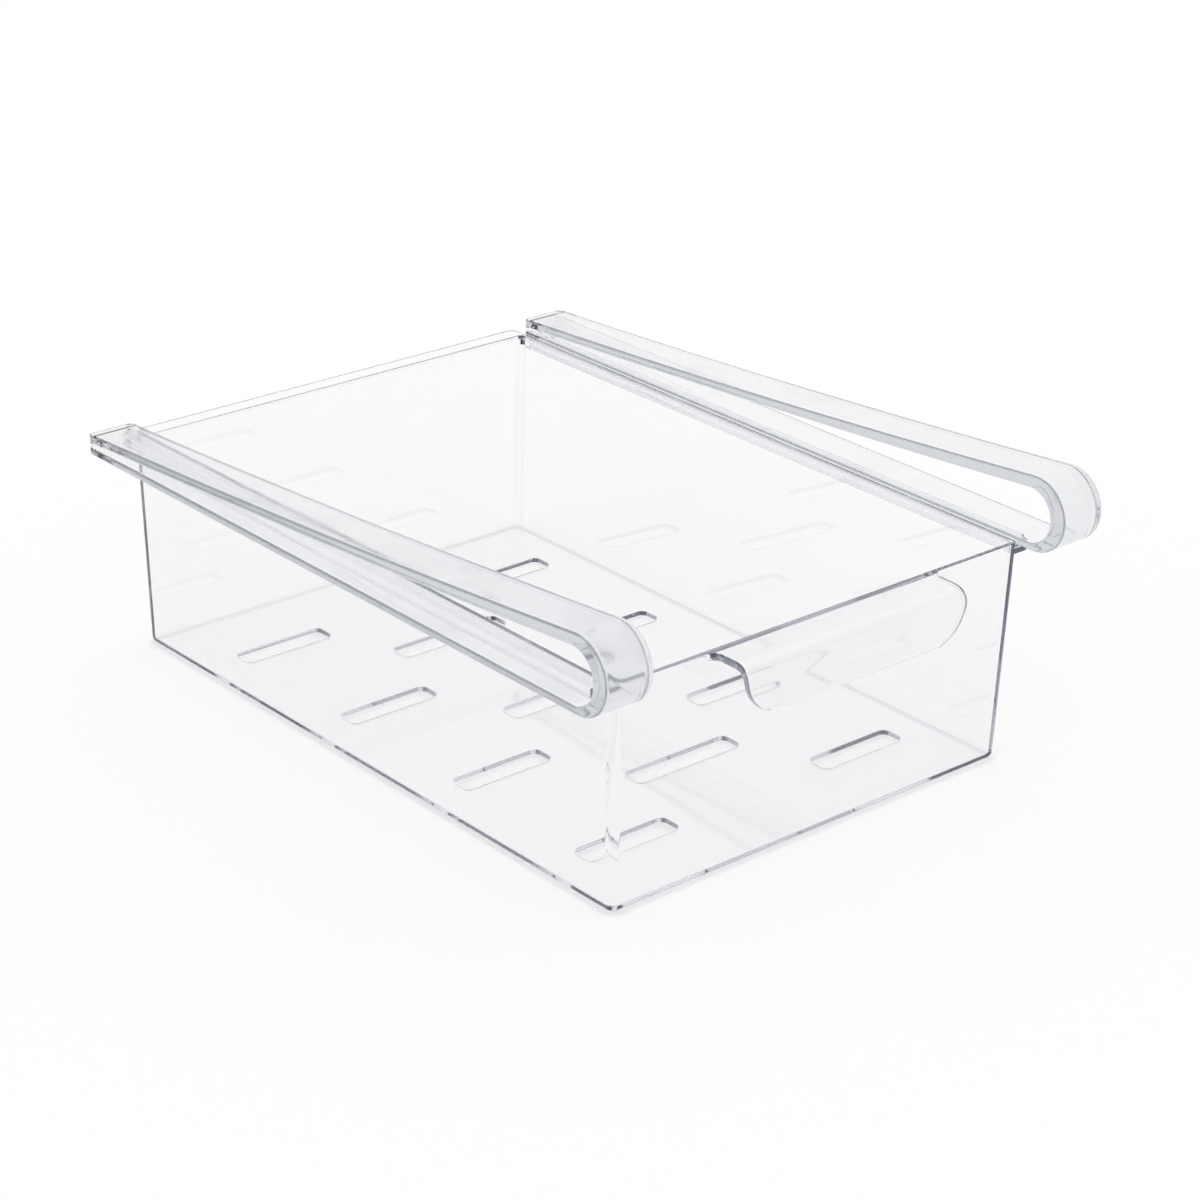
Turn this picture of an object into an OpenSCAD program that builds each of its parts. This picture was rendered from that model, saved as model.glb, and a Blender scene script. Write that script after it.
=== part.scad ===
// Hanging fridge drawer: a clear bin with a moulded pull, carried by two
// hairpin rails that clip over the front edge of a fridge shelf.
// The bin's side flanges run in a groove along the lower arm of each rail.
// Front is -Y, up is +Z, and the origin is under the middle of the whole thing.

/* [Bin] */
// Outside width at the rim
bin_w = 206; // [170:1:260]
// Outside length at the rim, front to back
bin_l = 300; // [200:1:400]
// Height from the surface to the rim
bin_h = 92.5; // [60:0.5:140]
// Thickness of the four walls
wall = 2; // [1.6:0.1:2.6]
// Thickness of the floor
floor_t = 2; // [1.6:0.1:3]
// Corner radius seen from above
corner_r = 3; // [2:0.5:8]
// Radius of the corners inside, seen from above
inner_corner_r = 2.2; // [1:0.1:6]
// Radius of the edge between walls and floor
foot_r = 2.6; // [0.6:0.2:3]
// How much each side wall leans in at the floor
side_draft = 2.8; // [1:0.2:6]
// How much the front wall leans in at the floor
front_draft = 1.5; // [0.5:0.5:4]
// How much the back wall leans in at the floor
back_draft = 1.8; // [1:0.2:6]
// Width of the lip behind the back wall
back_lip_w = 6.5; // [6:0.5:12]
// Thickness of the lip behind the back wall
back_lip_t = 2; // [1.6:0.1:3]

/* [Runner flanges] */
// Width of each side flange, out from the rim
flange_w = 5.5; // [4:0.5:8]
// Thickness of each side flange
flange_t = 2.4; // [1.8:0.1:3]
// Drop from the rim to the top of the flanges
flange_drop = 2.2; // [1.5:0.1:4]

/* [Pull] */
// Width of the pull
pull_w = 112; // [80:1:140]
// Reach of the pull in front of the rim
pull_reach = 18.5; // [16:0.5:26]
// Drop from the rim to the lower edge of the pull
pull_drop = 21; // [19:0.2:35]
// Thickness of the pull at its root
pull_t = 3; // [1.8:0.1:3.5]
// Thickness of the pull at its lower edge
pull_edge_t = 2.8; // [0.8:0.1:3]
// Outside radius where the pull turns down
pull_bend_r = 8; // [5:0.5:12]
// Radius of the lower corners of the pull
pull_corner_r = 17; // [8:0.5:18]
// Radius of the fillets between the pull's ends and the front wall
pull_root_r = 4; // [2:0.5:6]

/* [Floor slots] */
// Width of every slot, front to back
slot_w = 11; // [7:0.5:16]
// Corner radius of every slot
slot_r = 3; // [1:0.5:3]
// Length of the slots in the two side columns
side_slot_l = 43; // [20:1:50]
// Length of the slots in the middle column
mid_slot_l = 53.5; // [20:0.5:60]
// Distance from each side of the rim to the side slots
slot_side_margin = 22; // [15:0.5:30]
// Distance from the front rim, and at least from the back rim, to a slot's middle
slot_end_margin = 39.5; // [24:0.5:60]
// Pitch of the slots in one column
slot_pitch = 72.5; // [50:0.5:90]

/* [Rails] */
// Width of each rail
rail_w = 21.5; // [18:0.5:30]
// How far the rails run past the back rim
rail_over = 1; // [-20:0.5:5]
// Distance from the front rim to the front of the loops
loop_reach = 21.5; // [19:0.5:30]
// Outside height of the loops
loop_h = 30.6; // [28:0.1:36]
// Thickness of the loop at its front
loop_t = 7.5; // [5:0.5:9]
// Thickness of the upper arm next to the loop
upper_root_t = 5.1; // [4:0.1:6]
// Thickness of the upper arm over its back part
upper_t = 3.6; // [3:0.1:4]
// Thickness of the bead at the tip of the upper arm
bead_t = 4.4; // [4.2:0.1:5]
// Gap between the bead and the lower arm when no shelf is in
tip_gap = 1.2; // [0.6:0.1:4]
// Fall of the upper arm for each millimetre just behind the loop
arm_slope = 0.096; // [0.08:0.002:0.12]
// Corner radius at the back end of each rail, seen from above
tip_corner_r = 4; // [2:0.5:8]
// Wall beside and under the groove that holds the flange
hook_t = 1.2; // [1:0.1:2]
// Distance from the front rim to the front end of the hook
hook_start = 4; // [2:0.5:20]

/* [Fits] */
// Gap between the rim and the inner face of each rail
side_clear = 0.5; // [0.4:0.1:1]
// Gap over and under the flange in its groove
groove_clear = 0.25; // [0.2:0.05:0.4]
// Height of the lower arm's top above the rim, which keeps the shelf off the bin
shelf_clear = 1; // [0.5:0.1:1.5]

/* [Hidden] */
$fn = 64;
cut = 1; // how far a cutting shape runs past the surface it cuts
skin = 0.01; // height of one level of the bin
edge_step = 22.5; // angle between the levels of a round lower edge

// Front and back of the whole thing lie equally far from the origin
front_over = max(loop_reach, pull_reach);
back_over = max(back_lip_w, rail_over);
front_y = (front_over - bin_l - back_over) / 2; // front rim
back_y = front_y + bin_l;                       // back rim

flange_top = bin_h - flange_drop;
flange_bottom = flange_top - flange_t;
flange_x = bin_w / 2 + flange_w; // outer edge of a flange

slot_col_x = bin_w / 2 - slot_side_margin - side_slot_l / 2;
side_slots = floor((bin_l - 2 * slot_end_margin) / slot_pitch) + 1;

// The lower arm lies between the shelf and the flange
rail_x = bin_w / 2 + side_clear; // inner face of a rail
arm_top = bin_h + shelf_clear;
arm_bottom = flange_top + groove_clear;
arm_t = arm_top - arm_bottom;
groove_bottom = flange_bottom - groove_clear;
groove_x = flange_x + 2 * groove_clear; // far wall of the groove
tip_y = back_y + rail_over;

// Outside of the loop, a circle that both arms run into
loop_r = loop_h / 2;
loop_y = front_y - loop_reach + loop_r;
loop_z = arm_bottom + loop_r;

// Upper arm: a shallow bow from the top of the loop down to its bead
arm_steps = 16;
arm_start = loop_y + loop_r * arm_slope;
arm_start_z = loop_z + loop_r * sqrt(1 - arm_slope * arm_slope);
arm_span = tip_y - bead_t / 2 - arm_start;
tip_top = arm_top + tip_gap + bead_t;
arm_bow = (tip_top - arm_start_z + arm_slope * arm_span) / (arm_span * arm_span);
taper_share = 0.62; // share of its length over which the upper arm thins
taper_span = taper_share * arm_span;

function arm_y(i) = arm_start + arm_span * i / arm_steps;
function upper_top(y) = let (s = y - arm_start)
    arm_start_z - arm_slope * s + arm_bow * s * s;
function upper_under(y) = upper_top(y) - upper_t
    - (upper_root_t - upper_t) * max(0, 1 - (y - arm_start) / taper_span);
// Underside of the first straight piece of the upper arm, which meets the loop
function root_under(y) = upper_under(arm_y(0))
    + (upper_under(arm_y(1)) - upper_under(arm_y(0))) * (y - arm_y(0)) / (arm_y(1) - arm_y(0));

// Inside of the loop, a circle between the lower arm and the upper arm
hole_y = front_y - loop_reach + loop_t + (upper_under(arm_start) - arm_top) / 2;
hole_r = (root_under(hole_y) - arm_top) / 2;

// A flat plate with four equal round corners, from corner (x0, y0) to (x1, y1)
module rounded_plate(x0, y0, x1, y1, r, z, t) {
    translate([0, 0, z]) linear_extrude(t) {
        translate([x0 + r, y0]) square([x1 - x0 - 2 * r, y1 - y0]);
        translate([x0, y0 + r]) square([x1 - x0, y1 - y0 - 2 * r]);
        for (x = [x0 + r, x1 - r], y = [y0 + r, y1 - r])
            translate([x, y]) circle(r);
    }
}

// One level of the bin's outline, shrunk by inset, at height z
module bin_level(z, inset, r) {
    lean = 1 - z / bin_h;
    half = bin_w / 2 - side_draft * lean - inset;
    y0 = front_y + front_draft * lean + inset;
    y1 = back_y - back_draft * lean - inset;
    translate([0, 0, z]) linear_extrude(skin)
        for (x = [-half + r, half - r], y = [y0 + r, y1 - r])
            translate([x, y]) circle(r, $fn = 32);
}

// The leaning block inside the bin's outline, with round corners and a round lower edge
module bin_block(z_low, z_high, inset, r, edge_r) {
    hull() {
        for (a = [0 : edge_step : 90])
            bin_level(z_low + edge_r * (1 - sin(a)), inset + edge_r * (1 - cos(a)), r);
        bin_level(z_high - skin, inset, r);
    }
}

module slot(x, y, length) {
    rounded_plate(x - length / 2, y - slot_w / 2, x + length / 2, y + slot_w / 2,
        slot_r, -cut, floor_t + 2 * cut);
}

// Two side columns of slots, and a middle column half a pitch further back
module floor_slots() {
    for (i = [0 : side_slots - 1], side = [-1, 1])
        slot(side * slot_col_x, front_y + slot_end_margin + i * slot_pitch, side_slot_l);
    for (i = [0 : side_slots - 2])
        slot(0, front_y + slot_end_margin + (i + 0.5) * slot_pitch, mid_slot_l);
}

// The runner flange on the +X side, rooted in the wall and its two corners
module flange() {
    difference() {
        translate([bin_w / 2 - corner_r, front_y, flange_bottom])
            cube([corner_r + flange_w, bin_l, flange_t]);
        rounded_plate(-bin_w / 2, front_y + wall / 2, bin_w / 2 - wall / 2, back_y - wall / 2,
            corner_r - wall / 2, flange_bottom - cut, flange_t + 2 * cut);
    }
}

// Lip behind the back wall, level with the rim
module back_lip() {
    difference() {
        rounded_plate(-bin_w / 2, back_y - corner_r - wall, bin_w / 2, back_y + back_lip_w,
            corner_r, bin_h - back_lip_t, back_lip_t);
        translate([-bin_w / 2 - cut, back_y - corner_r - wall - cut, bin_h - back_lip_t - cut])
            cube([bin_w + 2 * cut, corner_r + wall / 2 + cut, back_lip_t + 2 * cut]);
    }
}

// Side view of the pull: a flat top, a quarter bend and a tapering front plate.
// The first coordinate runs forward from the rim, the second up from the lower edge.
module pull_profile() {
    flat_l = pull_reach - pull_bend_r;
    bend_z = pull_drop - pull_bend_r;
    translate([-wall / 2, pull_drop - pull_t]) square([wall / 2 + flat_l, pull_t]);
    translate([flat_l, bend_z]) intersection() {
        difference() {
            circle(pull_bend_r);
            circle(pull_bend_r - pull_t);
        }
        square(pull_bend_r);
    }
    polygon([
        [pull_reach, 0],
        [pull_reach, bend_z],
        [pull_reach - pull_t, bend_z],
        [pull_reach - pull_edge_t, 0]
    ]);
}

// The fillet between the pull's +X end and the front wall
module pull_fillet() {
    translate([pull_w / 2, front_y, bin_h - pull_t]) linear_extrude(pull_t) difference() {
        translate([-cut, -pull_root_r]) square([cut + pull_root_r, pull_root_r + wall / 2]);
        translate([pull_root_r, -pull_root_r]) circle(pull_root_r);
    }
}

// The pull, cut to its round lower corners
module pull() {
    intersection() {
        translate([pull_w / 2, front_y, bin_h - pull_drop])
            rotate([90, 0, -90]) linear_extrude(pull_w) pull_profile();
        translate([0, front_y + wall, bin_h]) rotate([90, 0, 0])
            rounded_plate(-pull_w / 2, -pull_drop, pull_w / 2, pull_corner_r,
                pull_corner_r, -cut, pull_reach + wall + 2 * cut);
    }
}

module drawer() {
    color([0.86, 0.89, 0.91, 0.4]) {
        difference() {
            bin_block(0, bin_h, 0, corner_r, foot_r);
            bin_block(floor_t, bin_h + cut, wall, inner_corner_r, foot_r / 2);
            floor_slots();
        }
        flange();
        mirror([1, 0, 0]) flange();
        back_lip();
        pull();
        pull_fillet();
        mirror([1, 0, 0]) pull_fillet();
    }
}

// Side view of a hairpin rail, without its hook: first coordinate Y, second Z
module rail_profile() {
    difference() {
        union() {
            translate([loop_y, loop_z]) circle(loop_r);
            translate([loop_y, arm_bottom]) square([tip_y - loop_y, arm_t]);
            polygon(concat(
                [for (i = [0 : arm_steps]) [arm_y(i), upper_top(arm_y(i))]],
                [for (i = [arm_steps : -1 : 0]) [arm_y(i), upper_under(arm_y(i))]]));
            translate([arm_y(arm_steps), tip_top - bead_t / 2]) circle(bead_t / 2);
        }
        translate([hole_y, arm_top + hole_r]) circle(hole_r);
        polygon([
            [hole_y, arm_top],
            [hole_y, root_under(hole_y)],
            [arm_y(1), upper_under(arm_y(1))],
            [arm_y(1), arm_top]
        ]);
    }
}

// The hook under the lower arm, which closes the groove round the flange
module hook() {
    hook_front = front_y + hook_start;
    hook_back = tip_y - tip_corner_r;
    translate([0, hook_back, 0]) rotate([90, 0, 0]) linear_extrude(hook_back - hook_front)
        polygon([
            [rail_x, groove_bottom - hook_t],
            [groove_x + hook_t, groove_bottom - hook_t],
            [groove_x + hook_t, arm_bottom + arm_t / 2],
            [groove_x, arm_bottom + arm_t / 2],
            [groove_x, groove_bottom],
            [rail_x, groove_bottom]
        ]);
}

// The rail on the +X side
module rail() {
    color([0.84, 0.88, 0.89, 0.5]) {
        intersection() {
            translate([rail_x, 0, 0]) rotate([90, 0, 90])
                linear_extrude(rail_w) rail_profile();
            rounded_plate(rail_x, front_y - loop_reach - 2 * tip_corner_r,
                rail_x + rail_w, tip_y, tip_corner_r, 0, arm_top + loop_h);
        }
        hook();
    }
}

module rail_left() {
    mirror([1, 0, 0]) rail();
}

module rail_right() {
    rail();
}

drawer();
rail_left();
rail_right();
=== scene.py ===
"""Looks of a clear fridge drawer: one thin moulded bin that slides on two hairpin rails.

Shapes are worked out in millimetres as whole numpy arrays, and Skin turns them into meshes in
metres. +Z is up, the pull is at -Y, and the origin lies under the middle of the whole thing.
"""

import logging
from dataclasses import dataclass
from enum import Enum

import bmesh
import bpy
import numpy as np
from mathutils import Matrix, Vector
from mathutils.geometry import delaunay_2d_cdt


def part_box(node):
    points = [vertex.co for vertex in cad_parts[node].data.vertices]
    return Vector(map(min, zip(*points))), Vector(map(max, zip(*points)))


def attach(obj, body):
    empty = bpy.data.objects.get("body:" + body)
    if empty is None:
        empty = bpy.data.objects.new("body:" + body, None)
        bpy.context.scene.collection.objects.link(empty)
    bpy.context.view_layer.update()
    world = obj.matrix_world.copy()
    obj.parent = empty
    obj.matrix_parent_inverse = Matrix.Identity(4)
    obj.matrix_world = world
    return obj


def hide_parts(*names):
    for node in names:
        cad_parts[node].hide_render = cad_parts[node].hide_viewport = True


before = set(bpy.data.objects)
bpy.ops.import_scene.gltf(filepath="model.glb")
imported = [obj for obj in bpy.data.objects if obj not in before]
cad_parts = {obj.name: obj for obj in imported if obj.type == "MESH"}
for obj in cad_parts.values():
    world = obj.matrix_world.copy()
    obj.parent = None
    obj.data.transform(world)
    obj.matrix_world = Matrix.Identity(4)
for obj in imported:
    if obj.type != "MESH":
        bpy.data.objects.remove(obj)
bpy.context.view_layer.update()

Array = np.ndarray
MM = 0.001  # metres in a millimetre
GUARD = 0.4  # distance of the row that keeps a flat face flat beside a round edge
MERGE = 0.002  # points closer than this are one point
SIDE_COLUMNS = 5  # columns along each straight side of the bin, apart from its front
SHARP = np.radians(35.0)  # edges that turn more than this stay crisp
INSIDE = 1  # the triangulation's mode that fills up to the outer ring
LIGHT_TURNS = 128  # light is followed through this many turns, as the walls trap it
TABLE_TURNS = 8  # light is followed through this many turns on the table

log = logging.getLogger("fridge_drawer")


class Side(Enum):
    """The two sides of the drawer, as seen from the front."""

    LEFT = -1
    RIGHT = 1


def node_box(node: str) -> tuple[Array, Array]:
    """Lowest and highest corner of a solid at rest, in millimetres."""
    low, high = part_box(node)
    return np.array(low) / MM, np.array(high) / MM


def quarter(steps: int) -> Array:
    """Angles of a quarter turn from 0 to 90 degrees, in radians."""
    return np.linspace(0.0, np.pi / 2, steps + 1)


class Skin:
    """A closed surface that is put together from grids of points, in millimetres."""

    def __init__(self) -> None:
        """Starts with no points and no faces."""
        self._points: list[Array] = []
        self._faces: list[Array] = []
        self._count = 0

    def add(self, points: Array) -> Array:
        """Adds points.

        Args:
            points: Places of the points, with x, y and z along the last axis.

        Returns:
            The numbers of the points, in the same arrangement.
        """
        flat = points.reshape(-1, 3)
        ids = np.arange(self._count, self._count + len(flat)).reshape(points.shape[:-1])
        self._points.append(flat)
        self._count += len(flat)
        return ids

    def bridge(self, ids: Array, closed: bool = False, keep: Array | None = None) -> None:
        """Joins each row of a grid to the next with four-sided faces.

        Args:
            ids: Grid of point numbers, one row for each line of points.
            closed: True where the last column joins the first.
            keep: Mask of the faces to make, or None for all of them.
        """
        here = ids if closed else ids[:, :-1]
        beside = np.roll(ids, -1, axis=1) if closed else ids[:, 1:]
        quads = np.stack([here[:-1], beside[:-1], beside[1:], here[1:]], axis=-1)
        self._faces.append(quads.reshape(-1, 4) if keep is None else quads[keep])

    def cap(self, ring: Array) -> None:
        """Closes a ring of point numbers with one flat face."""
        self._faces.append(ring.reshape(1, -1))

    def plate(self, rim: Array, holes: Array) -> None:
        """Fills a level area with triangles.

        A triangle whose corners all lie on the ring of one hole is left out, as the rings
        bulge outward everywhere.

        Args:
            rim: Point numbers of the ring round the area.
            holes: Point numbers of the rings round its holes, one row for each.
        """
        loops = [rim, *holes]
        ids = np.concatenate(loops)
        places = np.concatenate(self._points)[ids, :2]
        starts = np.cumsum([0] + [len(loop) for loop in loops[:-1]])
        links = [
            np.stack([np.arange(len(loop)), np.roll(np.arange(len(loop)), -1)], axis=1) + start
            for loop, start in zip(loops, starts)
        ]
        filled = delaunay_2d_cdt(
            [Vector(place) for place in places],
            np.concatenate(links).tolist(),
            [],
            INSIDE,
            MERGE,
        )
        source = np.array([numbers[0] for numbers in filled[3]])[np.array(filled[2])]
        loop = np.repeat(np.arange(len(loops)), [len(loop) for loop in loops])[source]
        in_hole = (loop[:, 0] > 0) & (loop == loop[:, :1]).all(axis=1)
        self._faces.append(ids[source[~in_hole]])

    def to_object(self, name: str) -> bpy.types.Object:
        """Builds the mesh in metres, with its points merged and its faces outward.

        Args:
            name: Name of the piece.

        Returns:
            The new object, at the origin.
        """
        mesh = bpy.data.meshes.new(name)
        faces = [face for block in self._faces for face in block.tolist()]
        mesh.from_pydata(np.concatenate(self._points) * MM, [], faces)
        form = bmesh.new()
        form.from_mesh(mesh)
        bmesh.ops.remove_doubles(form, verts=form.verts, dist=MERGE * MM)
        bmesh.ops.dissolve_degenerate(form, edges=form.edges, dist=MERGE * MM)
        bmesh.ops.recalc_face_normals(form, faces=form.faces)
        loose = sum(not edge.is_manifold for edge in form.edges)
        form.to_mesh(mesh)
        form.free()
        mesh.polygons.foreach_set("use_smooth", np.ones(len(mesh.polygons), bool))
        mesh.set_sharp_from_angle(angle=SHARP)
        mesh.validate()
        piece = bpy.data.objects.new(name, mesh)
        bpy.context.scene.collection.objects.link(piece)
        log.info("%s: %d faces, %d open edges", name, len(mesh.polygons), loose)
        return piece


@dataclass(frozen=True)
class Columns:
    """Places round a rounded rectangle, counter-clockwise from the front left arc.

    A place is its side times the arc centre, plus a shift, plus the radius times its normal.
    """

    side: Array
    shift: Array
    normal: Array

    @classmethod
    def round_bin(cls, front_x: Array, steps: int) -> "Columns":
        """Sets out the columns of the bin.

        Args:
            front_x: Places along the front, in millimetres from the middle.
            steps: Number of steps in each corner arc.

        Returns:
            The columns.
        """
        level = np.zeros_like(front_x)
        middle = np.stack([level, level - 1, front_x, level], axis=1)
        parts = [cls._guarded((-1, -1), (1, -1), -90, middle)]
        corners = [(1, -1), (1, 1), (-1, 1), (-1, -1)]
        for number, corner in enumerate(corners):
            start = -90 + 90 * number
            angles = start + np.degrees(quarter(steps))
            ends = np.tile([*corner, 0, 0], (steps + 1, 1))
            parts.append(np.column_stack([ends, angles]))
            if number < 3:
                after = corners[number + 1]
                share = np.linspace(0.1, 0.9, SIDE_COLUMNS)[:, None]
                along = np.array(corner) * (1 - share) + np.array(after) * share
                run = np.column_stack([along, np.zeros((SIDE_COLUMNS, 2))])
                parts.append(cls._guarded(corner, after, start + 90, run))
        table = np.concatenate(parts)
        angle = np.radians(table[:, 4])
        normal = np.round(np.stack([np.cos(angle), np.sin(angle)], axis=1), 9)
        return cls(table[:, 0:2], table[:, 2:4], normal)

    @staticmethod
    def _guarded(start: tuple[int, int], end: tuple[int, int], angle: float, run: Array) -> Array:
        """Puts a guard column before and after the columns of one straight side."""
        way = np.sign(np.array(end) - np.array(start)) * GUARD
        rows = np.vstack([[*start, *way], run, [*end, *-way]])
        return np.column_stack([rows, np.full(len(rows), angle)])


@dataclass(frozen=True)
class DrawerMoulding:
    """The bin with its rim, runner flanges, back lip, pull and floor slots, in millimetres."""

    wall: float = 2.0
    floor_t: float = 2.0
    corner_r: float = 3.0
    inner_r: float = 2.5
    foot_r: float = 2.6
    fillet_r: float = 1.0
    side_draft: float = 2.8
    front_draft: float = 1.5
    back_draft: float = 1.8
    rim_edge_r: float = 0.2
    flange_w: float = 5.5
    flange_t: float = 2.4
    flange_drop: float = 2.2
    flange_r: float = 1.2
    lip_w: float = 6.5
    lip_t: float = 2.0
    pull_w: float = 112.0
    pull_reach: float = 18.5
    pull_drop: float = 21.0
    pull_t: float = 3.0
    pull_edge_t: float = 2.8
    pull_bend_r: float = 10.0
    pull_corner_r: float = 17.0
    pull_root_r: float = 4.0
    pull_end_r: float = 0.8
    slot_w: float = 11.0
    slot_r: float = 3.0
    slot_edge_r: float = 0.03
    side_slot_l: float = 43.0
    mid_slot_l: float = 53.5
    slot_side_margin: float = 22.0
    slot_end_margin: float = 39.5
    slot_pitch: float = 72.5
    slot_rows: int = 4
    arc_steps: int = 10
    edge_steps: int = 4
    round_steps: int = 6
    pull_columns: int = 25
    beside_pull: tuple[float, float] = (10.0, 22.0)
    bend_steps: int = 24
    plate_steps: int = 14
    name: str = "drawer_moulding"

    def build(self) -> bpy.types.Object:
        """Builds the whole moulding as one closed mesh."""
        skin = Skin()
        columns = self._columns()
        rows, root, top = self._rows(columns)
        ids = skin.add(np.array(rows))
        in_pull = np.flatnonzero(np.abs(self._front_x()) <= self._root_half) + 1
        left, right = in_pull[0], in_pull[-1]
        keep = np.ones((len(rows) - 1, ids.shape[1]), bool)
        keep[root:top, left:right] = False
        skin.bridge(ids, closed=True, keep=keep)
        self._add_pull(skin, ids[root : top + 1, left : right + 1])
        lower, upper = self._add_slots(skin)
        skin.plate(ids[0], lower)
        skin.plate(ids[-1], upper)
        return skin.to_object(self.name)

    @property
    def _high(self) -> float:
        """Height of the rim."""
        return node_box("drawer")[1][2]

    @property
    def _half_w(self) -> float:
        """Half the width at the rim."""
        return node_box("drawer")[1][0] - self.flange_w

    @property
    def _front(self) -> float:
        """Place of the front wall at the rim."""
        return node_box("drawer")[0][1] + self.pull_reach

    @property
    def _back(self) -> float:
        """Place of the back wall at the rim."""
        return node_box("drawer")[1][1] - self.lip_w

    @property
    def _root_half(self) -> float:
        """Half the width of the pull where it meets the wall."""
        return self.pull_w / 2 + self.pull_root_r

    def _pull_share(self) -> Array:
        """Places across the pull, from -1 at its left end to 1 at its right end."""
        guard = GUARD / self._root_half
        inner = np.linspace(-1 + 4 * guard, 1 - 4 * guard, self.pull_columns)
        return np.concatenate([[-1, -1 + guard], inner, [1 - guard, 1]])

    def _front_x(self) -> Array:
        """Places of the columns along the front wall."""
        beside = self._root_half + np.array([GUARD, *self.beside_pull])
        return np.concatenate([-beside[::-1], self._pull_share() * self._root_half, beside])

    def _columns(self) -> Columns:
        """Columns round the bin."""
        return Columns.round_bin(self._front_x(), self.arc_steps)

    def _ring(self, columns: Columns, z: float, inset: float | Array, foot: float = 0.0) -> Array:
        """One level line of the leaning, rounded walls.

        The walls lean in by their draft towards the floor. The corners are arcs whose radius
        falls in a straight line from the outside of the wall to its inside.

        Args:
            columns: Columns round the bin.
            z: Height of the line.
            inset: Distance in from the outside of the walls.
            foot: Part of the inset that leaves the corner radius as it is.

        Returns:
            The places of the line's points.
        """
        lean = 1 - z / self._high
        through = np.clip((inset - foot) / self.wall, 0, 1)
        radius = self.corner_r + (self.inner_r - self.corner_r) * through
        half_x = self._half_w - self.side_draft * lean - inset - radius
        near_y = self._front + self.front_draft * lean + inset + radius
        far_y = self._back - self.back_draft * lean - inset - radius
        x = columns.side[:, 0] * half_x + columns.shift[:, 0] + radius * columns.normal[:, 0]
        y = (near_y + far_y) / 2 + columns.side[:, 1] * (far_y - near_y) / 2
        y = y + columns.shift[:, 1] + radius * columns.normal[:, 1]
        return np.stack([x, y, np.full_like(x, z)], axis=1)

    def _flange_ring(self, columns: Columns, line: Array) -> Array:
        """Moves a level line out to the edge of the runner flanges.

        Along the sides a point moves straight out. Round a corner arc the points share out the
        flange's end: first down its side, then round a small arc, then in along its end face.

        Args:
            columns: Columns round the bin.
            line: Places of the wall's points at that level.

        Returns:
            The places of the flange's edge.
        """
        side_share, arc_share = 0.3, 0.3
        across, along = np.abs(columns.normal).T
        turn = np.arctan2(along, across) / (np.pi / 2)
        bend = np.clip((turn - side_share) / arc_share, 0, 1) * np.pi / 2
        inward = np.clip((turn - side_share - arc_share) / (1 - side_share - arc_share), 0, 1)
        straight = self.corner_r - self.flange_r
        centre = line[:, :2] - self.corner_r * columns.normal
        edge_x = self._half_w + self.flange_w - self.flange_r
        x = edge_x + self.flange_r * np.cos(bend)
        x = x - (edge_x - np.abs(centre[:, 0])) * inward
        y = straight * np.clip(turn / side_share, 0, 1) + self.flange_r * np.sin(bend)
        moved = np.stack(
            [
                np.sign(columns.side[:, 0]) * x,
                centre[:, 1] + np.sign(columns.normal[:, 1]) * y,
                line[:, 2],
            ],
            axis=1,
        )
        return np.where((turn < 1)[:, None], moved, line)

    def _rows(self, columns: Columns) -> tuple[list[Array], int, int]:
        """Level lines from the underside, up the outside, over the rim and down the inside.

        Args:
            columns: Columns round the bin.

        Returns:
            The lines, the number of the line under the pull and that of the line over it.
        """
        edge, high = self.rim_edge_r, self._high
        is_lip = (columns.side[:, 1] == 1) & (columns.shift[:, 1] == 0)
        lip = np.where(is_lip, self.lip_w, 0.0)[:, None] * np.array([0.0, 1.0, 0.0])
        flange_top = high - self.flange_drop
        flange_low = flange_top - self.flange_t
        lip_low = high - self.lip_t
        guard = self.foot_r + GUARD
        outside = [self._ring(columns, 0.0, guard, guard)]
        for a in quarter(self.round_steps)[::-1]:
            inset = self.foot_r * (1 - np.cos(a))
            outside.append(self._ring(columns, self.foot_r * (1 - np.sin(a)), inset, inset))
        outside.append(self._ring(columns, guard, 0.0))
        under, over = (self._ring(columns, z, 0.0) for z in (flange_low, flange_top))
        outside += [under, self._flange_ring(columns, under), self._flange_ring(columns, over), over]
        root = len(outside) - 1
        outside += [self._ring(columns, lip_low, 0.0)]
        for a in quarter(self.edge_steps):
            inset = edge * (1 - np.sin(a)) * is_lip
            outside.append(self._ring(columns, lip_low + edge * (1 - np.cos(a)), inset) + lip)
        for a in quarter(self.edge_steps):
            inset = edge * (1 - np.cos(a))
            outside.append(self._ring(columns, high - edge * (1 - np.sin(a)), inset) + lip)
        top = len(outside) - 1
        inside = []
        for a in quarter(self.edge_steps):
            inset = self.wall - edge * (1 - np.sin(a))
            inside.append(self._ring(columns, high - edge * (1 - np.cos(a)), inset))
        fillet_top = self.floor_t + self.fillet_r
        inside.append(self._ring(columns, high - edge - GUARD, self.wall))
        inside.append(self._ring(columns, fillet_top + GUARD, self.wall))
        for a in quarter(self.edge_steps):
            inset = self.wall + self.fillet_r * (1 - np.cos(a))
            inside.append(self._ring(columns, fillet_top - self.fillet_r * np.sin(a), inset))
        inside.append(self._ring(columns, self.floor_t, self.wall + self.fillet_r + GUARD))
        return outside + inside, root, top

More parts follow.
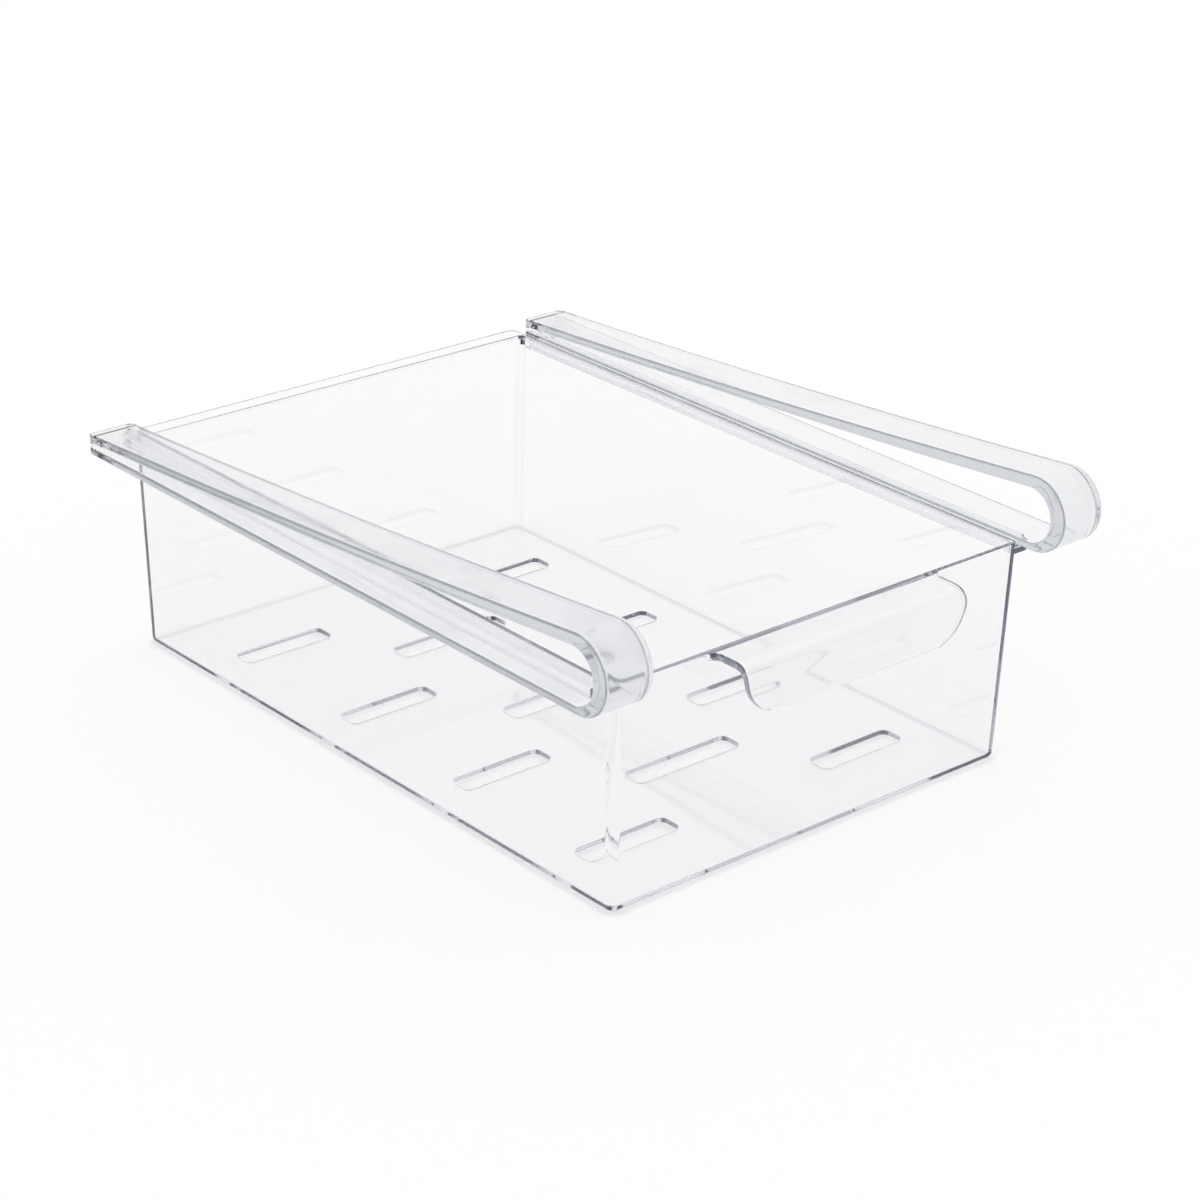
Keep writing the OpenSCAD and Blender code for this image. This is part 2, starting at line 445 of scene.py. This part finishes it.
    def _pull_path(self) -> Array:
        """Side view of the pull's sheet.

        It runs level from the rim, round a bend and down a front plate that thins towards a
        round lower edge. The bend's angle is 90 degrees times its share of the length, less one
        sine wave, so that the bend eases in and out.

        Returns:
            One row a station: top y, top z, underside y, underside z.
        """
        reach, radius, thick = self.pull_reach, self.pull_bend_r, self.pull_t
        flat = reach - radius
        flare = self.pull_root_r * (1 - np.cos(quarter(self.round_steps)[1:]))
        level = np.append(flare, flat - GUARD)
        zero = np.zeros_like(level)
        flat_rows = np.stack([-level, zero, -level, zero - thick], axis=1)
        along = np.linspace(0, 1, self.bend_steps + 1)
        turn = (along - np.sin(2 * np.pi * along) / (2 * np.pi)) * np.pi / 2
        way = -np.stack([np.cos(turn), np.sin(turn)], axis=1)
        curve = np.cumsum(np.vstack([[0, 0], (way[1:] + way[:-1]) / 2]), axis=0)
        curve = curve * radius / -curve[-1, 0]
        inward = np.stack([-way[:, 1], way[:, 0]], axis=1)
        bend_rows = np.hstack([curve, curve + thick * inward]) - [flat, 0, flat, 0]
        centre = -self.pull_drop + self.pull_corner_r
        edge_r = self.pull_edge_t / 2
        last = np.arcsin((self.pull_corner_r - edge_r) / self.pull_corner_r)
        first = np.arcsin(max(centre + radius, 0.0) / self.pull_corner_r)
        lower = np.linspace(first, last, self.plate_steps + 1)[1:]
        drop = centre - self.pull_corner_r * np.sin(lower)
        share = (-radius - drop) / (self.pull_drop - radius)
        sheet = thick + (self.pull_edge_t - thick) * share
        plate_rows = np.stack([drop * 0 - reach, drop, -reach + sheet, drop], axis=1)
        # The lower edge is round, but stops short of a sharp end
        tip = np.linspace(0.2, 0.95, self.edge_steps + 1) * np.pi / 2
        tip_z = -self.pull_drop + edge_r * (1 - np.sin(tip))
        half = edge_r * np.cos(tip)
        tip_rows = np.stack([-reach + edge_r - half, tip_z, -reach + edge_r + half, tip_z], axis=1)
        return np.concatenate([flat_rows, bend_rows, plate_rows, tip_rows])

    def _add_pull(self, skin: Skin, gap: Array) -> None:
        """Adds the pull as a sheet that grows out of a gap in the front wall.

        Each station of the side view is a ring: along the underside, up the right end, back
        along the top and down the left end. The lower corners are arcs seen from the front, the
        ends flare out in an arc next to the wall, and every ring's ends are rounded.

        Args:
            skin: The surface to add to.
            gap: Point numbers of the wall's gap, from its lower line to its upper line.
        """
        rise = (1 - np.cos(np.linspace(0, np.pi, len(gap))[1:-1])) / 2
        across = self._pull_share()
        share = np.concatenate([across, np.ones_like(rise), across[::-1], -np.ones_like(rise)])
        height = np.concatenate([across * 0, rise, across * 0 + 1, rise[::-1]])
        path = self._pull_path()[:, :, None]
        top_y, top_z, under_y, under_z = path.transpose(1, 0, 2)
        thick = np.hypot(top_y - under_y, top_z - under_z)
        edge = np.minimum(self.pull_end_r, thick / 2)
        depth = np.minimum(height, 1 - height) * thick
        ease = edge - np.sqrt(edge**2 - np.clip(edge - depth, 0, None) ** 2)
        below = np.clip(-self.pull_drop + self.pull_corner_r - top_z, 0, self.pull_corner_r)
        end_x = self.pull_w / 2 - self.pull_corner_r + np.sqrt(self.pull_corner_r**2 - below**2)
        near = self.pull_root_r - np.clip(-top_y, 0, self.pull_root_r)
        flare = self.pull_root_r - np.sqrt(self.pull_root_r**2 - near**2)
        x = share * (end_x + flare - ease)
        y = self._front + under_y + (top_y - under_y) * height
        z = self._high + under_z + (top_z - under_z) * height
        root = np.concatenate([gap[0], gap[1:-1, -1], gap[-1][::-1], gap[1:-1, 0][::-1]])
        rings = skin.add(np.stack([x, y, z], axis=-1))
        skin.bridge(np.vstack([root[None], rings]), closed=True)
        last, count, rows = rings[-1], len(across), len(rise)
        lower, upper = last[:count], last[count + rows : 2 * count + rows][::-1]
        skin.bridge(np.stack([lower, upper]))
        skin.cap(np.concatenate([last[count - 1 : count + rows], upper[-1:]]))
        skin.cap(np.concatenate([upper[:1], last[2 * count + rows :], lower[:1]]))

    def _slot_centres(self) -> Array:
        """Middle and length of each slot: two side columns, and one staggered between them."""
        start = self._front + self.slot_end_margin
        side_x = self._half_w - self.slot_side_margin - self.side_slot_l / 2
        y = start + self.slot_pitch * np.arange(self.slot_rows)
        between = y[:-1] + self.slot_pitch / 2
        sides = [np.stack([y * 0 + x, y, y * 0 + self.side_slot_l], axis=1) for x in (-side_x, side_x)]
        middle = np.stack([between * 0, between, between * 0 + self.mid_slot_l], axis=1)
        return np.concatenate([*sides, middle])

    def _add_slots(self, skin: Skin) -> tuple[Array, Array]:
        """Adds the walls of all slots, with their edges rounded over at both faces.

        Args:
            skin: The surface to add to.

        Returns:
            The rings round the slots in the underside, and those in the floor's top.
        """
        edge = self.slot_edge_r
        bend = quarter(self.edge_steps)
        level = np.concatenate([[0.0], edge * (1 - np.cos(bend))])
        widen = np.concatenate([[edge + GUARD], edge * (1 - np.sin(bend))])
        level = np.concatenate([level, self.floor_t - level[::-1]])
        widen = np.concatenate([widen, widen[::-1]])[None, :, None]
        angle = (quarter(self.arc_steps // 2) + (np.pi / 2) * np.arange(4)[:, None]).ravel()
        quadrant = np.repeat(np.arange(4), self.arc_steps // 2 + 1)
        side_x = np.array([1, -1, -1, 1])[quadrant]
        side_y = np.array([1, 1, -1, -1])[quadrant]
        x, y, length = self._slot_centres().T[:, :, None, None]
        radius = self.slot_r + widen
        place_x = x + side_x * (length / 2 - self.slot_r) + radius * np.cos(angle)
        place_y = y + side_y * (self.slot_w / 2 - self.slot_r) + radius * np.sin(angle)
        place_z = place_x * 0 + level[None, :, None]
        ids = skin.add(np.stack([place_x, place_y, place_z], axis=-1))
        for slot in ids:
            skin.bridge(slot, closed=True)
        return ids[:, 0], ids[:, -1]


@dataclass(frozen=True)
class HairpinRail:
    """A rail: two arms joined by a loop in front, with a hook for the flange, in millimetres."""

    side: Side
    loop_reach: float = 21.5
    loop_t: float = 7.5
    arm_top: float = 93.5
    arm_bottom: float = 90.55
    upper_root_t: float = 5.1
    upper_t: float = 3.6
    taper_share: float = 0.62
    bead_t: float = 4.4
    tip_gap: float = 1.2
    arm_slope: float = 0.096
    tip_corner_r: float = 4.0
    hook_start: float = 4.0
    hook_t: float = 1.2
    groove_x: float = 109.0
    groove_low: float = 87.65
    edge_r: float = 1.0
    edge_steps: int = 5
    loop_steps: int = 48
    arm_steps: int = 24
    tip_steps: int = 8
    bead_steps: int = 6
    hook_steps: int = 12
    hook_guard: float = 3.0

    @property
    def name(self) -> str:
        """Name of the piece."""
        return f"hairpin_{self.side.name.lower()}"

    @property
    def node(self) -> str:
        """Name of the solid that the piece stands for."""
        return f"rail_{self.side.name.lower()}"

    def build(self) -> bpy.types.Object:
        """Builds the rail as one closed mesh."""
        skin = Skin()
        outer, inner, width = self._path()
        ids = skin.add(self._sections(outer, inner, width))
        hook_y = (self._front + self.hook_start, self._tip - self.tip_corner_r)
        level = np.isclose(outer[:, 1], self.arm_bottom)
        first, last = (np.flatnonzero(level & np.isclose(outer[:, 0], y))[0] for y in hook_y)
        near, far = self._hook_columns()
        keep = np.ones((len(ids) - 1, ids.shape[1]), bool)
        keep[first:last, near:far] = False
        skin.bridge(ids, closed=True, keep=keep)
        gap = slice(first, last + 1)
        self._add_hook(skin, ids[gap, near], ids[gap, far], outer[gap, 0])
        return skin.to_object(self.name)

    @property
    def _box(self) -> tuple[Array, Array]:
        """Corners of the right rail's solid."""
        return node_box("rail_right")

    @property
    def _front(self) -> float:
        """Place of the drawer's front wall at the rim."""
        return self._box[0][1] + self.loop_reach

    @property
    def _tip(self) -> float:
        """Place of the arms' tips."""
        return self._box[1][1]

    def _upper_arm(self, y: Array, start: Array) -> tuple[Array, Array]:
        """Top and underside of the upper arm.

        The top is a shallow bow, a slope that eases off with the square of the distance, and
        the thickness falls in a straight line to its value over the back part.

        Args:
            y: Places along the arm.
            start: Place and height at which the bow leaves the loop.

        Returns:
            Heights of the top and of the underside.
        """
        span = self._tip - self.bead_t / 2 - start[0]
        tip_top = self.arm_top + self.tip_gap + self.bead_t
        bow = (tip_top - start[1] + self.arm_slope * span) / span**2
        run = y - start[0]
        top = start[1] - self.arm_slope * run + bow * run**2
        taper = np.clip(1 - run / (self.taper_share * span), 0, None)
        return top, top - self.upper_t - (self.upper_root_t - self.upper_t) * taper

    def _path(self) -> tuple[Array, Array, Array]:
        """Side view of the hairpin, from the upper tip round the loop to the lower tip.

        Returns:
            The outer line and the inner line, as y and z, and the share of the full width.
        """
        radius = (self._box[1][2] - self.arm_bottom) / 2
        centre = np.array([self._box[0][1] + radius, self.arm_bottom + radius])
        start_angle = np.arccos(self.arm_slope)
        start = centre + radius * np.array([np.cos(start_angle), np.sin(start_angle)])
        bead_r = self.bead_t / 2
        bead = np.array([self._tip - bead_r, self.arm_top + self.tip_gap + bead_r])

        bend = quarter(self.tip_steps)[::-1]
        tip_y = bead[0] + bead_r * np.sin(bend)
        tip_top, tip_under = bead[1] + bead_r * np.cos(bend), bead[1] - bead_r * np.cos(bend)
        # From just behind the bead's highest point to its back
        back = np.linspace(0.15, 1.0, self.bead_steps) * np.pi / 2
        back_y = bead[0] - bead_r * np.sin(back)
        back_top, back_under = self._upper_arm(back_y, start)
        back_under = np.minimum(back_under, bead[1] - bead_r * np.cos(back))

        under = self._upper_arm(start[:1], start)[1][0]
        hole_y = self._box[0][1] + self.loop_t + (under - self.arm_top) / 2
        heights = self._upper_arm(np.array([hole_y, hole_y + 1.0]), start)[1]
        fall = heights[0] - heights[1]
        hole_r = (heights[0] - self.arm_top) / (1 + np.hypot(1, fall))
        hole = np.array([hole_y, self.arm_top + hole_r])
        hole_angle = np.pi / 2 - np.arctan(fall)
        hole_end = hole_y + hole_r * np.cos(hole_angle)

        # The last station lies just behind the start of the loop
        share = np.concatenate([np.linspace(0, 1, self.arm_steps)[1:-1], [0.997]])
        arm_outer_y = back_y[-1] + (start[0] - back_y[-1]) * share
        arm_inner_y = back_y[-1] + (hole_end - back_y[-1]) * share
        arm_outer = np.stack([arm_outer_y, self._upper_arm(arm_outer_y, start)[0]], axis=1)
        arm_inner = np.stack([arm_inner_y, self._upper_arm(arm_inner_y, start)[1]], axis=1)

        turn = np.linspace(0, 1, self.loop_steps)
        loop_outer = self._arc(centre, radius, start_angle, turn)
        loop_inner = self._arc(hole, hole_r, hole_angle, turn)

        tip_half = (self.arm_top - self.arm_bottom) / 2
        hook_y = np.array([self._front + self.hook_start, self._tip - self.tip_corner_r])
        arm_y = np.concatenate([hook_y[:1] - self.hook_guard, np.linspace(*hook_y, self.hook_steps)])
        end_bend = quarter(self.tip_steps - 1)
        end_y = self._tip - tip_half + tip_half * np.sin(end_bend)
        middle_z = self.arm_bottom + tip_half
        # Two stations where the round back corner begins, at these angles in radians
        corner_y = self._tip - self.tip_corner_r * (1 - np.sin([0.25, 0.45]))
        level_y = np.concatenate([arm_y, corner_y])
        lower = np.stack([level_y, level_y * 0 + self.arm_bottom], axis=1)
        upper = np.stack([level_y, level_y * 0 + self.arm_top], axis=1)
        lower_end = np.stack([end_y, middle_z - tip_half * np.cos(end_bend)], axis=1)
        upper_end = np.stack([end_y, middle_z + tip_half * np.cos(end_bend)], axis=1)
        after = np.array([1.0, 0.0])

        outer = np.concatenate([
            np.stack([tip_y, tip_top], axis=1), np.stack([back_y, back_top], axis=1),
            arm_outer, loop_outer, (loop_outer[-1] + after)[None], lower, lower_end,
        ])
        inner = np.concatenate([
            np.stack([tip_y, tip_under], axis=1), np.stack([back_y, back_under], axis=1),
            arm_inner, loop_inner, (loop_inner[-1] + after)[None], upper, upper_end,
        ])
        near_tip = np.clip(outer[:, 0] - (self._tip - self.tip_corner_r), 0, self.tip_corner_r)
        half = (self._box[1][0] - self._box[0][0]) / 2
        width = 1 - (self.tip_corner_r - np.sqrt(self.tip_corner_r**2 - near_tip**2)) / half
        return outer, inner, width

    @staticmethod
    def _arc(centre: Array, radius: float, start: float, turn: Array) -> Array:
        """Arc over the front, from the start angle down to the lowest point of its circle."""
        angle = start + (1.5 * np.pi - start) * turn
        return centre + radius * np.stack([np.cos(angle), np.sin(angle)], axis=1)

    def _flat_x(self) -> Array:
        """Columns across the flat faces of the rail, from its inner side to its outer side."""
        low, high = self._box[0][0] + self.edge_r, self._box[1][0] - self.edge_r
        hook = [self.groove_x, self.groove_x + self.hook_t]
        return np.array([low, low + GUARD, *hook, high - GUARD, high])

    def _hook_columns(self) -> tuple[int, int]:
        """Numbers of the two columns between which the hook grows out of the arm."""
        return 2, 3

    def _sections(self, outer: Array, inner: Array, width: Array) -> Array:
        """Cross-sections of the rail: rectangles with rounded edges.

        Round the section, a point's depth from the outer line is a share of the thickness plus
        a share of the edge radius, which is never more than half the thickness.

        Args:
            outer: Outer line of the side view.
            inner: Inner line of the side view.
            width: Share of the full width at each station.

        Returns:
            Grid of places, one row a station.
        """
        bend = quarter(self.edge_steps)[1:]
        flat = self._flat_x()
        swing, sink = self.edge_r * np.sin(bend), 1 - np.cos(bend)
        # Two points on each side wall keep it flat between its round edges
        wall = np.array([0.15, 0.85])
        wall_sink = np.array([0.7, -0.7])
        right = np.concatenate([flat[-1] + swing, flat[-1] + [self.edge_r] * 2, flat[-1] + swing[::-1]])
        left = np.concatenate([flat[0] - swing, flat[0] - [self.edge_r] * 2, flat[0] - swing[::-1]])
        x = np.concatenate([flat, right, flat[::-1], left])
        down = np.concatenate([sink * 0, wall, sink * 0 + 1])
        curve = np.concatenate([sink, wall_sink, -sink[::-1]])
        share = np.concatenate([flat * 0, down, flat * 0 + 1, 1 - down])
        curve = np.concatenate([flat * 0, curve, flat * 0, -curve])
        thick = np.linalg.norm(outer - inner, axis=1)
        edge = np.minimum(self.edge_r / np.maximum(thick, MERGE), 0.5)
        depth = share + curve * edge[:, None]
        side_view = outer[:, None] + (inner - outer)[:, None] * depth[:, :, None]
        middle = (flat[0] + flat[-1]) / 2
        across = self.side.value * (middle + (x - middle) * width[:, None])
        return np.concatenate([across[:, :, None], side_view], axis=2)

    def _add_hook(self, skin: Skin, near: Array, far: Array, y: Array) -> None:
        """Adds the hook that carries the flange, as a bent strip under the lower arm.

        Args:
            skin: The surface to add to.
            near: Point numbers along the edge of the arm's gap next to the drawer.
            far: Point numbers along the other edge of the gap.
            y: Places of both along the arm.
        """
        inside, _, low = self._box[0]
        out, ledge = self.groove_x + self.hook_t, self.groove_low
        corners = [(out, low), (inside, low), (inside, ledge), (self.groove_x, ledge)]
        lines = [
            skin.add(np.stack([y * 0 + self.side.value * x, y, y * 0 + z], axis=1))
            for x, z in corners
        ]
        strip = np.stack([far, *lines, near], axis=1)
        skin.bridge(strip)
        skin.cap(strip[0])
        skin.cap(strip[-1])


class Sock:
    """A value in a node tree, with Python's arithmetic on it."""

    def __init__(self, graph: "Graph", socket: bpy.types.NodeSocket) -> None:
        """Wraps one output socket of a node."""
        self.graph = graph
        self.socket = socket

    def _math(self, operation: str, *values: "Sock | float") -> "Sock":
        """Adds a Math node that works on the given values."""
        return self.graph.node("ShaderNodeMath", {"operation": operation}, dict(enumerate(values)))

    def __add__(self, other: "Sock | float") -> "Sock":
        """Sum of two values."""
        return self._math("ADD", self, other)

    def __sub__(self, other: "Sock | float") -> "Sock":
        """Difference of two values."""
        return self._math("SUBTRACT", self, other)

    def __rsub__(self, other: float) -> "Sock":
        """A number less this value."""
        return self._math("SUBTRACT", other, self)

    def __mul__(self, other: "Sock | float") -> "Sock":
        """Product of two values."""
        return self._math("MULTIPLY", self, other)

    def __pow__(self, other: float) -> "Sock":
        """This value to a power."""
        return self._math("POWER", self, other)

    __radd__ = __add__
    __rmul__ = __mul__

    def most(self, other: "Sock | float") -> "Sock":
        """The larger of two values."""
        return self._math("MAXIMUM", self, other)


class Graph:
    """A node tree that is written as expressions."""

    def __init__(self, tree: bpy.types.NodeTree) -> None:
        """Takes over a node tree and empties it."""
        self.tree = tree
        tree.nodes.clear()

    def node(
        self,
        kind: str,
        settings: dict[str, object] | None = None,
        inputs: dict[str | int, object] | None = None,
        output: str | int = 0,
    ) -> Sock:
        """Adds one node.

        Args:
            kind: Blender's name of the node's type.
            settings: Properties to set first, or the stops of a ramp under "stops".
            inputs: Values or links of the node's sockets, by name or number.
            output: Name or number of the socket to return.

        Returns:
            The chosen output.
        """
        new = self.tree.nodes.new(kind)
        for key, value in (settings or {}).items():
            if key == "stops":
                self._set_stops(new.color_ramp, value)
            else:
                setattr(new, key, value)
        for key, value in (inputs or {}).items():
            if isinstance(value, Sock):
                self.tree.links.new(value.socket, new.inputs[key])
            else:
                new.inputs[key].default_value = value
        return Sock(self, new.outputs[output] if new.outputs else None)

    @staticmethod
    def _set_stops(ramp: bpy.types.ColorRamp, stops: tuple[tuple[float, float], ...]) -> None:
        """Sets the stops of a ramp from pairs of place and grey value."""
        for _ in stops[2:]:
            ramp.elements.new(0.5)
        for element, (place, grey) in zip(ramp.elements, stops):
            element.position = place
            element.color = (grey, grey, grey, 1)


@dataclass(frozen=True)
class ClearPlastic:
    """A clear, polished moulding with faint flow waves in its skin and a few hazy patches.

    Attributes:
        name: Name of the finish.
        tint: Colour that the clear parts of the skin let through.
        haze_tint: Colour that the hazy patches let through.
        deep_tint: Colour that light takes on over a long way through the plastic.
        absorption: How strongly light takes that colour on, for each metre.
        ior: How strongly the plastic bends light.
        polish: Roughness of the clear parts.
        haze: Roughness that the patches add.
        wave_size: Width of the flow waves, in millimetres.
        wave_depth: Depth of the flow waves, in millimetres.
        grain_size: Width of the finest patches, in millimetres.
    """

    name: str
    tint: tuple[float, float, float]
    haze_tint: tuple[float, float, float]
    deep_tint: tuple[float, float, float] = (0.34, 0.36, 0.48)
    absorption: float = 8.0
    ior: float = 1.55
    polish: float = 0.012
    haze: float = 0.05
    wave_size: float = 45.0
    wave_depth: float = 0.05
    grain_size: float = 6.0

    def build(self) -> bpy.types.Material:
        """Builds the material from object coordinates."""
        material = bpy.data.materials.new(self.name)
        material.use_nodes = True
        graph = Graph(material.node_tree)
        place = graph.node("ShaderNodeTexCoord", output="Object")
        waves = self._noise(graph, place, self.wave_size, 1.5)
        grain = self._noise(graph, place, self.grain_size, 3.0)
        patches = (waves * 0.7 + grain * 0.3) ** 2.0
        colour = graph.node(
            "ShaderNodeMix",
            {"data_type": "RGBA"},
            {0: patches, 6: (*self.tint, 1), 7: (*self.haze_tint, 1)},
            2,
        )
        bump = graph.node(
            "ShaderNodeBump",
            {},
            {"Strength": 1.0, "Distance": self.wave_depth * MM, "Height": waves},
        )
        shader = graph.node(
            "ShaderNodeBsdfPrincipled",
            {},
            {
                "Base Color": colour,
                "Roughness": patches * self.haze + self.polish,
                "IOR": self.ior,
                "Transmission Weight": 1.0,
                "Normal": bump,
            },
        )
        inside = graph.node(
            "ShaderNodeVolumeAbsorption", {}, {"Color": (*self.deep_tint, 1), "Density": self.absorption}
        )
        graph.node("ShaderNodeOutputMaterial", {}, {"Surface": shader, "Volume": inside})
        return material

    @staticmethod
    def _noise(graph: Graph, place: Sock, size: float, detail: float) -> Sock:
        """Soft noise whose patches are about size millimetres wide."""
        return graph.node(
            "ShaderNodeTexNoise", {}, {"Vector": place, "Scale": 1 / (size * MM), "Detail": detail}
        )


@dataclass(frozen=True)
class Studio:
    """A white table in a bright room.

    Attributes:
        floor_half: Half the width of the table, in metres.
        floor_gap: Gap between the table and what stands on it, in metres.
        floor_grey: Grey value of the table.
        sky_grey: Grey value of the room's light.
        dark_way: Way to the dark side of the room, which is behind the camera and above it.
        dark_stops: Pairs of the share of dark_way in a ray's direction and the room's grey there.
    """

    floor_half: float = 12.0
    floor_gap: float = 0.0003
    floor_grey: float = 1.0
    sky_grey: float = 1.0
    dark_way: tuple[float, float, float] = (-0.45, -0.55, 0.7)
    dark_stops: tuple[tuple[float, float], ...] = (
        (0.0, 1.0),
        (0.25, 1.0),
        (0.5, 0.65),
        (0.8, 0.36),
        (1.0, 0.3),
    )

    def build(self) -> None:
        """Makes the table and the light round it."""
        self._floor()
        self._sky()

    def _floor(self) -> None:
        """Makes the level white table top."""
        corners = np.array([(-1, -1, 0), (1, -1, 0), (1, 1, 0), (-1, 1, 0)]) * self.floor_half
        mesh = bpy.data.meshes.new("table_top")
        mesh.from_pydata(corners - [0, 0, self.floor_gap], [], [(0, 1, 2, 3)])
        table = bpy.data.objects.new("table_top", mesh)
        bpy.context.scene.collection.objects.link(table)
        material = bpy.data.materials.new("white_table")
        material.use_nodes = True
        graph = Graph(material.node_tree)
        grey = self.floor_grey
        shader = graph.node("ShaderNodeBsdfDiffuse", {}, {"Color": (grey, grey, grey, 1)})
        graph.node("ShaderNodeOutputMaterial", {}, {"Surface": shader})
        mesh.materials.append(material)

    def _sky(self) -> None:
        """Makes the light round the table: white, with a dark side that only gloss and glass see."""
        world = bpy.data.worlds.new("studio")
        bpy.context.scene.world = world
        world.use_nodes = True
        graph = Graph(world.node_tree)
        way = graph.node("ShaderNodeTexCoord", output="Generated")
        share = graph.node(
            "ShaderNodeVectorMath",
            {"operation": "DOT_PRODUCT"},
            {0: way, 1: self.dark_way},
            "Value",
        )
        room = graph.node("ShaderNodeValToRGB", {"stops": self.dark_stops}, {0: share})
        is_gloss = graph.node("ShaderNodeLightPath", output="Is Glossy Ray")
        is_glass = graph.node("ShaderNodeLightPath", output="Is Transmission Ray")
        spread = graph.node("ShaderNodeLightPath", output="Diffuse Depth")
        grey = self.sky_grey
        colour = graph.node(
            "ShaderNodeMix",
            {"data_type": "RGBA"},
            {0: is_gloss.most(is_glass) - spread, 6: (grey, grey, grey, 1), 7: room},
            2,
        )
        light = graph.node("ShaderNodeBackground", {}, {"Color": colour, "Strength": 1.0})
        graph.node("ShaderNodeOutputWorld", {}, {"Surface": light})


@dataclass(frozen=True)
class PhotoCamera:
    """The camera at the photograph's place, in metres, degrees and millimetres of lens."""

    place: tuple[float, float, float] = (-0.77714, -0.90455, 0.58503)
    azimuth: float = -41.196
    elevation: float = 24.305
    roll: float = 1.224
    lens: float = 97.92

    def build(self) -> None:
        """Makes the camera and puts it in charge of the scene."""
        data = bpy.data.cameras.new("photo_camera")
        data.lens = self.lens
        data.sensor_width = 36.0
        camera = bpy.data.objects.new("photo_camera", data)
        bpy.context.scene.collection.objects.link(camera)
        turn, tilt = np.radians(self.azimuth), np.radians(90 - self.elevation)
        camera.matrix_world = (
            Matrix.Translation(self.place)
            @ Matrix.Rotation(turn, 4, "Z")
            @ Matrix.Rotation(tilt, 4, "X")
            @ Matrix.Rotation(np.radians(self.roll), 4, "Z")
        )
        bpy.context.scene.camera = camera


def dress(
    piece: bpy.types.Object, material: bpy.types.Material, body: str, node: str
) -> None:
    """Gives a piece its finish and ties it to its body.

    Args:
        piece: The piece.
        material: Its finish.
        body: Name of the body that it moves with.
        node: Name of the solid that it stands for.
    """
    piece.data.materials.append(material)
    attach(piece, body)
    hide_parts(node)


def main() -> None:
    """Builds the drawer, its rails, the studio and the camera."""
    logging.basicConfig(level=logging.INFO)
    scene = bpy.context.scene
    scene.view_settings.view_transform = "Standard"
    scene.cycles.max_bounces = LIGHT_TURNS
    scene.cycles.transmission_bounces = LIGHT_TURNS
    scene.cycles.glossy_bounces = LIGHT_TURNS
    scene.cycles.diffuse_bounces = TABLE_TURNS
    scene.cycles.blur_glossy = 0.0
    drawer_clear = ClearPlastic("clear_drawer", (0.982, 0.982, 0.984), (0.972, 0.973, 0.976)).build()
    rail_clear = ClearPlastic(
        "clear_rail",
        (0.985, 0.987, 0.99),
        (0.955, 0.959, 0.966),
        deep_tint=(0.38, 0.41, 0.48),
        absorption=26.0,
        wave_size=22.0,
        wave_depth=0.12,
        haze=0.25,
    ).build()
    dress(DrawerMoulding().build(), drawer_clear, "drawer", "drawer")
    for side in Side:
        rail = HairpinRail(side)
        dress(rail.build(), rail_clear, "rails", rail.node)
    Studio().build()
    PhotoCamera().build()


if __name__ == "__main__":
    main()
